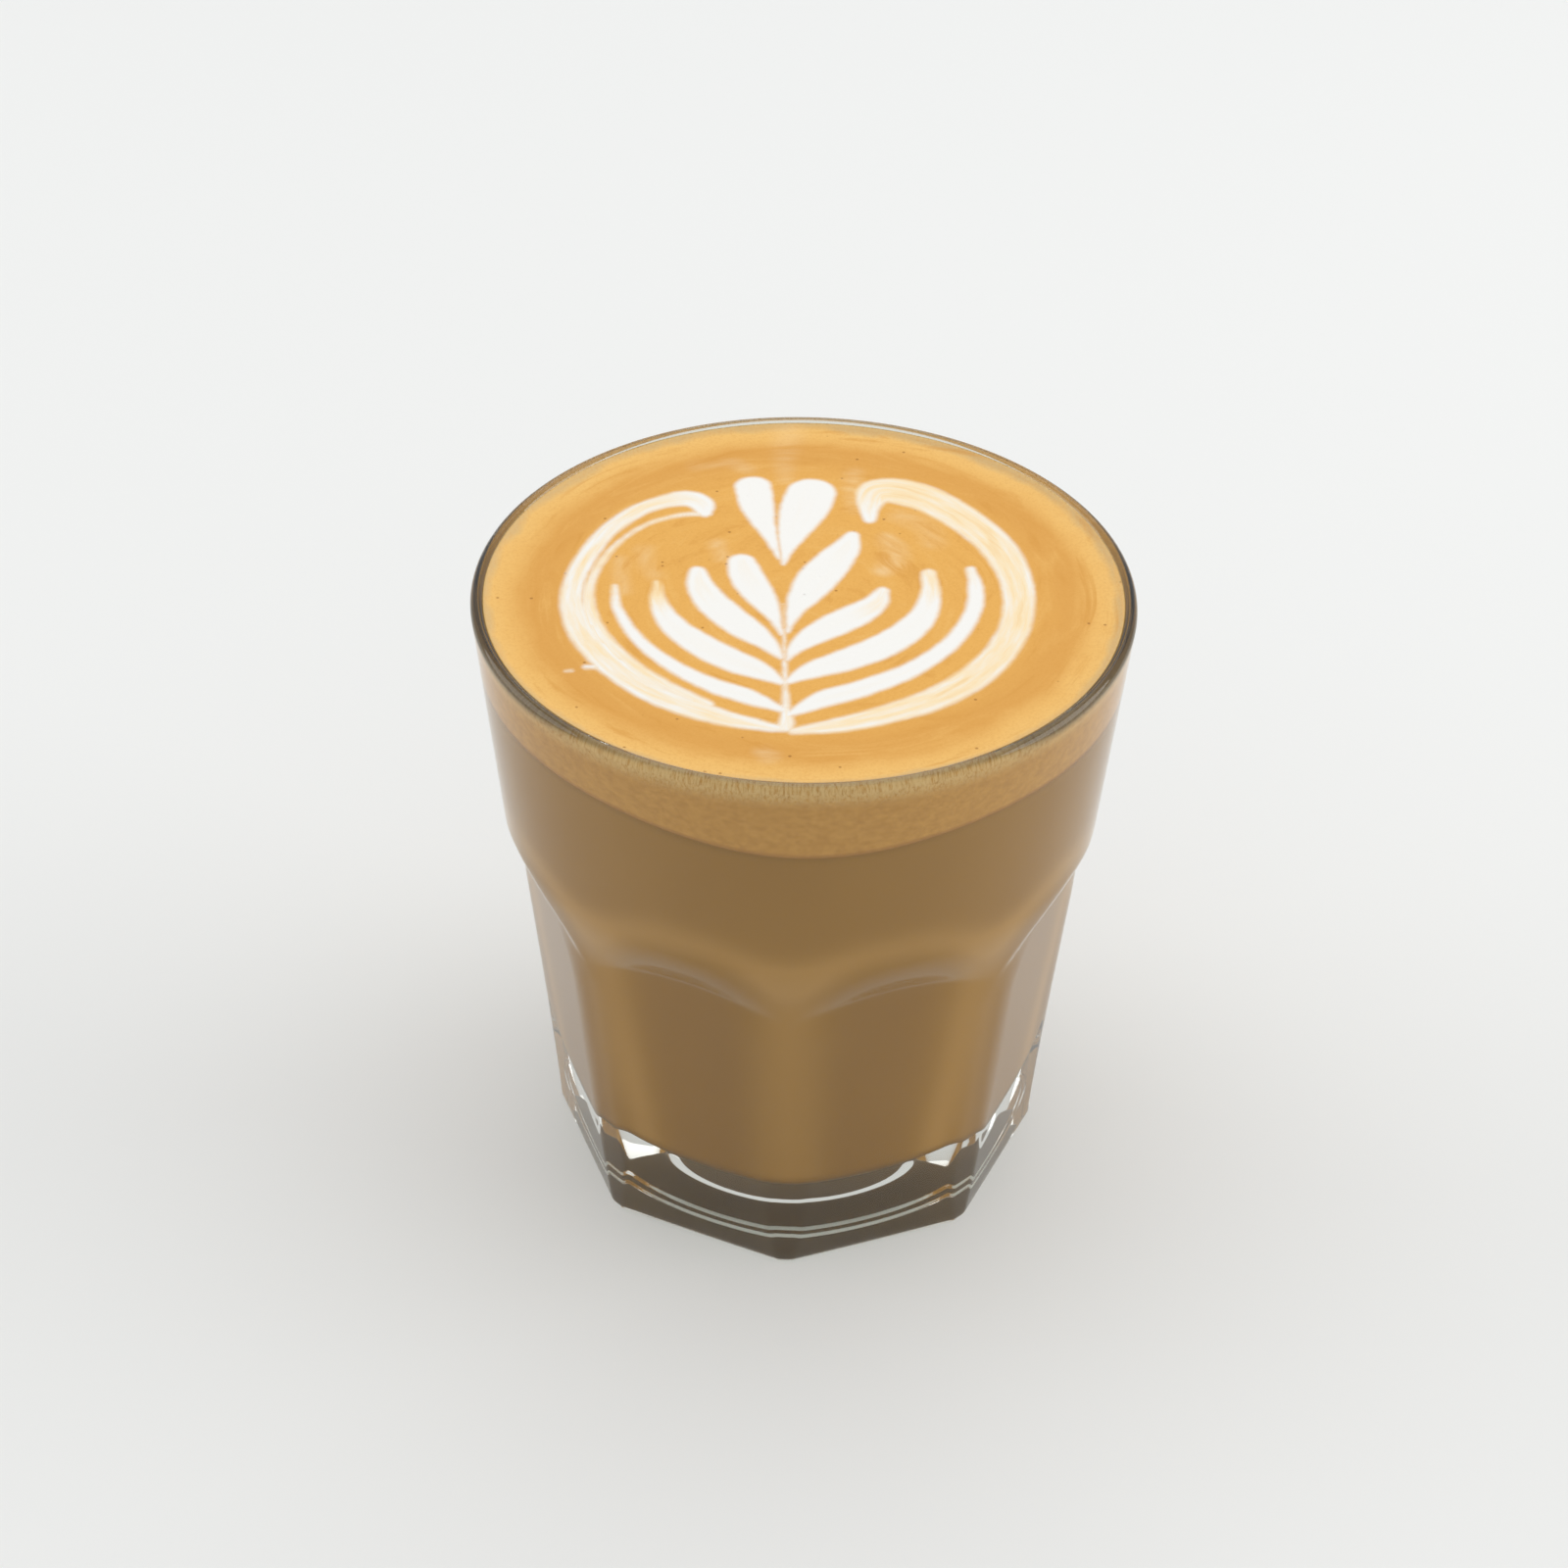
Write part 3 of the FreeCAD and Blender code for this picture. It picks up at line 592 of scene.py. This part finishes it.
OUTSIDE = -1e3                  # the depth of a point that no stroke has reached yet
DEEPEST = -9                    # the least depth that is written to a mesh
FLOW_STRETCH = 0.12             # streaks run along a stroke, so its length counts for less
FLOW_APART = 7.3                # sets the streaks of one stroke apart from the next one's
SWIRL_OUTWARD = 0.35            # how fast the foam's swirls change from the axis outwards
SWIRL_ROUND = 2.2               # how much they change on the way round it
SWIRL_HUB = 6                   # nearer the axis than this they fade, so they don't pinch there


def stroke_line(rests):
    """Points and half widths along a smooth line through a stroke's rests."""
    rests = np.asarray(rests, float)
    ends = np.concatenate([[2 * rests[0] - rests[1]], rests, [2 * rests[-1] - rests[-2]]])
    pieces = []
    for a, b, c, d in zip(ends, ends[1:], ends[2:], ends[3:]):
        steps = max(2, int(np.hypot(*(c - b)[:2]) / STROKE_STEP))
        t = np.arange(steps)[:, None] / steps
        pieces.append(0.5 * (2 * b + (c - a) * t + (2 * a - 5 * b + 4 * c - d) * t ** 2
                             + (3 * b - a - 3 * c + d) * t ** 3))
    return np.concatenate(pieces + [rests[-1:]])


def leaf_plane(x, y):
    """Across and along the leaf's stem, for points of the glass's frame."""
    across = (x - LEAF_SHIFT) * math.cos(LEAF_TURN) + y * math.sin(LEAF_TURN)
    along = y * math.cos(LEAF_TURN) - (x - LEAF_SHIFT) * math.sin(LEAF_TURN)
    return across, along


def veil_field(x, y):
    """How much milk hangs in the foam between the strokes."""
    across, along = leaf_plane(x, y)
    veil = np.zeros(x.shape)
    for strength, rests in VEILS:
        for u, v, half in stroke_line(rests):
            inside = half - np.hypot(across - u, along - v)
            veil = np.maximum(veil, strength * smooth_step(-VEIL_EDGE, half, inside))
    return veil


def milk_field(x, y):
    """For points of the foam's top: depth in the milk, a coordinate that follows the flow of the
    nearest stroke, and the milk's whiteness. Outside every stroke the depth is below nought."""
    across, along = leaf_plane(x, y)
    depth = np.full(x.shape, OUTSIDE)
    flow = np.zeros((len(x), 3))
    whiteness = np.zeros(x.shape)
    for number, (tip, white, rests) in enumerate(STROKES.values()):
        line = stroke_line(rests)
        gone = np.concatenate([[0], np.cumsum(np.hypot(*np.diff(line[:, :2], axis=0).T))])
        heading = np.gradient(line[:, :2], axis=0)
        heading /= np.linalg.norm(heading, axis=1)[:, None]
        best = np.full(x.shape, OUTSIDE)
        nearest = np.zeros(x.shape, int)
        for index, (u, v, half) in enumerate(line):
            inside = half - np.hypot(across - u, along - v)
            better = inside > best
            best[better] = inside[better]
            nearest[better] = index
        off = np.stack([across, along], axis=-1) - line[nearest, :2]
        aside = off[:, 0] * heading[nearest, 1] - off[:, 1] * heading[nearest, 0]
        wins = best > depth
        depth[wins] = best[wins]
        whiteness[wins] = (tip + (white - tip) * smooth_step(0, TIP_LENGTH, gone[nearest]))[wins]
        stretched = gone[nearest] * FLOW_STRETCH + number * FLOW_APART
        flow[wins] = np.stack([aside, stretched, np.full(x.shape, float(number))], axis=-1)[wins]
    return depth, flow, whiteness


def add_milk_attributes(piece, side):
    """Writes what the froth's material reads; side is 1 for points along the wall."""
    x, y, z = points_of(piece).T
    depth, flow, whiteness = milk_field(x, y)
    add_values(piece, "milk_depth", np.maximum(depth, DEEPEST))
    add_values(piece, "milk_whiteness", whiteness)
    add_values(piece, "milk_veil", veil_field(x, y))
    add_values(piece, "froth_side", side)
    add_values(piece, "froth_depth", FOAM_TOP - z)
    add_values(piece, "froth_lift", z - foam_underside(np.arctan2(y, x)))
    radius = np.hypot(x, y)
    around = np.stack([radius * SWIRL_OUTWARD, SWIRL_ROUND * x / (radius + SWIRL_HUB),
                       SWIRL_ROUND * y / (radius + SWIRL_HUB)], axis=-1)
    add_vectors(piece, "milk_flow", flow)
    add_vectors(piece, "froth_flow", around)


# --------------------------------------------------------------------------- drink

WALL_LEVEL = 1.5                # where the foam ends at the wall, above the CAD foam's foot
TILT = 0.3                      # lower by this at +X and higher at -X
DIP_PLACE = math.radians(-88)   # the direction in which the foam reaches lowest
DIP_WIDTH = math.radians(28)
DIP_DEPTH = 2.4
CLING_FADE = 0.4                # the foam falls back to level over this distance from the wall
FOAM_RADII = np.linspace(35.6, 0.05, 118)  # of the rings that the foam's and milk's tops share
FOAM_BASE = FOAM_FOOT + 1       # the height of the foam's underside at the axis
INTO_FOAM = 0.05                # the coffee reaches this far into the foam
MILK_LIFT = 0.05                # the milk's rise from its edge, just under the foam's top
MILK_EDGE = 0.3                 # it rises over this distance to either side of its outline

# Painted light on the coffee: how bright it is painted behind the glass, from 0 to 1.
FACET_LIGHT = 0.32              # behind the middle of a facet
RIDGE_LIGHT = 0.5               # added behind a ridge
RIDGE_WIDTH = 4.2               # and fading over this distance to either side of it
RIDGE_REACH = 29                # about a ridge's distance from the axis, to make lengths of angles
CONE_LIGHT = 0.55               # above the shoulder
CONE_BLEND = 3.0                # the change to it takes this far below the band and above it
BAND_LIGHT = 0.45               # added in a band along the shoulder
BAND_WIDTH = 2.6                # and fading over this distance above and below it
BAND_HEIGHT = 47.0              # of the band's middle at a ridge
BAND_RISE = 3.2                 # the band rises by this between the ridges
BAND_CURVE = 6.0                # over about this distance from a ridge
# Painted shade: towards the floor the painted light fades, so the coffee there is painted darkest.
FLOOR_FADE = (-0.2, 2.4)        # the coffee darkens to nought between these heights at the floor


def foam_underside(angle):
    """The height at which the foam ends at the wall: lower in front, where the pour pushed it."""
    away = np.mod(angle - DIP_PLACE + math.pi, FULL_TURN) - math.pi
    level = FOAM_FOOT + WALL_LEVEL - TILT * np.cos(angle)
    return level - DIP_DEPTH * bell(away, DIP_WIDTH)


def foam_height(radius):
    """The foam's top, which climbs a little where it clings to the glass."""
    gap = np.maximum(float(cavity_radius(FOAM_TOP)) - radius, 0)
    return FOAM_TOP + CLING * np.exp(-gap / CLING_FADE)


def coffee_rows():
    """The coffee's skin from the middle of the cavity's floor, up the wall, to its top's middle."""
    rows = [ring(radius, FLOOR - INTO_WALL) for radius in np.linspace(2, 17, 6)]
    for lift in np.radians(np.linspace(0, 90, 12)):
        z = FLOOR + CAVITY_ROUND * (1 - math.cos(lift))
        outward = INTO_WALL * math.sin(lift)
        rows.append(ring(cavity_radius(z) + outward, z - INTO_WALL * math.cos(lift)))
    under = foam_underside(ANGLES)
    for share in np.linspace(0, 1, 40)[1:]:
        z = FLOOR + CAVITY_ROUND + share * (under - FLOOR - CAVITY_ROUND)
        rows.append(ring(cavity_radius(z) + INTO_WALL, z))
    for radius in np.linspace(34, 2, 8):
        rows.append(ring(radius, under + INTO_FOAM))
    return rows


def painted_gathered_light(angle, z):
    """Painted light and shade: the ridges and the shoulder would gather light, so the coffee behind
    them is painted bright; behind the facets' middles it stays dim, and towards the floor it is
    painted dark.
    """
    side = FULL_TURN / FACETS
    turn = np.mod(angle + math.pi / 2 + side / 2, side) - side / 2
    from_ridge = turn * RIDGE_REACH
    below = FACET_LIGHT + RIDGE_LIGHT * bell(from_ridge, RIDGE_WIDTH)
    above_band = z - (BAND_HEIGHT + BAND_RISE * (1 - bell(from_ridge, BAND_CURVE)))
    seen = below + (CONE_LIGHT - below) * smooth_step(-CONE_BLEND, CONE_BLEND, above_band)
    seen = seen + BAND_LIGHT * bell(above_band, BAND_WIDTH)
    low, high = FLOOR_FADE
    return seen * smooth_step(FLOOR + low, FLOOR + high, z)


def build_coffee():
    piece = turned_piece("coffee_fill", coffee_rows(), FLOOR - INTO_WALL, FOAM_BASE,
                         coffee_material(), "coffee")
    x, y, z = points_of(piece).T
    add_values(piece, "painted_gathered_light", painted_gathered_light(np.arctan2(y, x), z))


def foam_rows():
    """The foam's underside, its side along the wall, and its top from the brim to the middle."""
    foot = foam_underside(ANGLES)
    under = [ring(radius, foot) for radius in (10, 20, 30)]
    heights = [foot + share * (FOAM_TOP + CLING - foot) for share in np.linspace(0, 1, 16)]
    wall = [ring(cavity_radius(z) + INTO_WALL, z) for z in heights]
    edge = float(cavity_radius(FOAM_TOP)) + INTO_WALL
    radii = [*np.linspace(edge, FOAM_RADII[0], 5)[1:-1], *FOAM_RADII]
    top = [ring(radius, foam_height(radius)) for radius in radii]
    return under, wall, top


def build_foam(material):
    under, wall, top = foam_rows()
    piece = turned_piece("foam_layer", under + wall + top, FOAM_BASE, FOAM_TOP, material,
                         "foam")
    side = np.zeros(len(piece.data.vertices))
    side[:(len(under) + len(wall)) * SIDES] = 1
    add_milk_attributes(piece, side)


def build_milk(material):
    """The poured milk: the part of the foam's top grid inside the strokes, as a shallow slab
    whose edge dives under the foam."""
    grid = np.concatenate([ring(radius, 0.0) for radius in FOAM_RADII])
    depth, _, _ = milk_field(grid[:, 0], grid[:, 1])
    radius = np.hypot(grid[:, 0], grid[:, 1])
    rise = MILK_LIFT * smooth_step(-MILK_EDGE, MILK_EDGE, depth)
    grid[:, 2] = foam_height(radius) + rise - MILK_LIFT / 2
    quads = grid_quads(len(FOAM_RADII))
    quads = quads[(depth[quads] > -MILK_EDGE).any(axis=1)]
    kept, packed = np.unique(quads, return_inverse=True)
    quads = packed.reshape(quads.shape)
    top = grid[kept]
    bottom = top.copy()
    bottom[:, 2] = MILK_FOOT
    count = len(top)
    edges = np.concatenate([quads[:, [k, (k + 1) % 4]] for k in range(4)])
    ways = {(int(a), int(b)) for a, b in edges}
    rim = [(a, b) for a, b in ways if (b, a) not in ways]
    faces = quads.tolist()
    faces += [face[::-1] for face in (quads + count).tolist()]
    faces += [(b, a, a + count, b + count) for a, b in rim]
    piece = make_piece("milk_leaf", np.concatenate([top, bottom]), faces, material,
                       "milk_rosette")
    add_milk_attributes(piece, np.zeros(2 * count))


# --------------------------------------------------------------------------- studio

# In metres, unlike the glass and the drink.
FLOOR_HALF = 4.0
BELOW_FOOT = 0.00005            # the floor lies this far below the foot, so they don't mix
LAMP_AIM = Vector((0, 0, 0.04))


def add_floor():
    """A wide table top, so that its edges stay out of sight."""
    mesh = bpy.data.meshes.new("table")
    corners = [(-1, -1), (1, -1), (1, 1), (-1, 1)]
    mesh.from_pydata([(FLOOR_HALF * x, FLOOR_HALF * y, 0) for x, y in corners],
                     [], [(0, 1, 2, 3)])
    mesh.materials.append(floor_material())
    table = bpy.data.objects.new("table", mesh)
    bpy.context.scene.collection.objects.link(table)
    table.location.z = -BELOW_FOOT


def add_lamp(name, place, size, power):
    """A round lamp that faces the glass."""
    data = bpy.data.lights.new(name, "AREA")
    data.shape = "DISK"
    data.size = size
    data.energy = power
    lamp = bpy.data.objects.new(name, data)
    lamp.location = place
    lamp.rotation_euler = (LAMP_AIM - Vector(place)).to_track_quat("-Z", "Y").to_euler()
    bpy.context.scene.collection.objects.link(lamp)


def add_world(strength):
    world = bpy.data.worlds.new("studio")
    world.use_nodes = True
    back = world.node_tree.nodes["Background"]
    back.inputs["Color"].default_value = (1, 1, 1, 1)
    back.inputs["Strength"].default_value = strength
    bpy.context.scene.world = world


def add_camera():
    """From in front and above, a little to the right, through a long lens."""
    distance = 0.456
    azimuth, elevation, roll = (math.radians(d) for d in (1.99, 36.776, 0.832))
    turn = Matrix.Rotation(azimuth, 3, "Z")
    back = Vector((0, -math.cos(elevation), math.sin(elevation)))
    right = Vector((1, 0, 0))
    up = right.cross(-back)
    level = math.cos(roll) * right + math.sin(roll) * up
    upright = math.cos(roll) * up - math.sin(roll) * right
    aim = Vector((-1.96, 0, 49.91)) * MM
    data = bpy.data.cameras.new("camera")
    data.sensor_width = 36
    data.lens = 88.49
    data.clip_start = 0.01
    camera = bpy.data.objects.new("camera", data)
    axes = Matrix((turn @ level, turn @ upright, turn @ back)).transposed()
    camera.matrix_world = Matrix.Translation(turn @ (aim + distance * back)) @ axes.to_4x4()
    bpy.context.scene.collection.objects.link(camera)
    bpy.context.scene.camera = camera


# --------------------------------------------------------------------------- the scene

build_glass()
build_coffee()
build_foam(froth_material("golden froth"))
build_milk(froth_material("poured milk"))
add_floor()
add_lamp("overhead", place=(0.05, 0.28, 0.8), size=1.1, power=2.15)
add_lamp("left", place=(-0.9, 0.15, 0.4), size=0.8, power=2.0)
add_lamp("right", place=(0.9, 0.05, 0.4), size=0.8, power=3.1)
add_world(strength=0.67)
add_camera()
bpy.context.scene.view_settings.view_transform = "Standard"
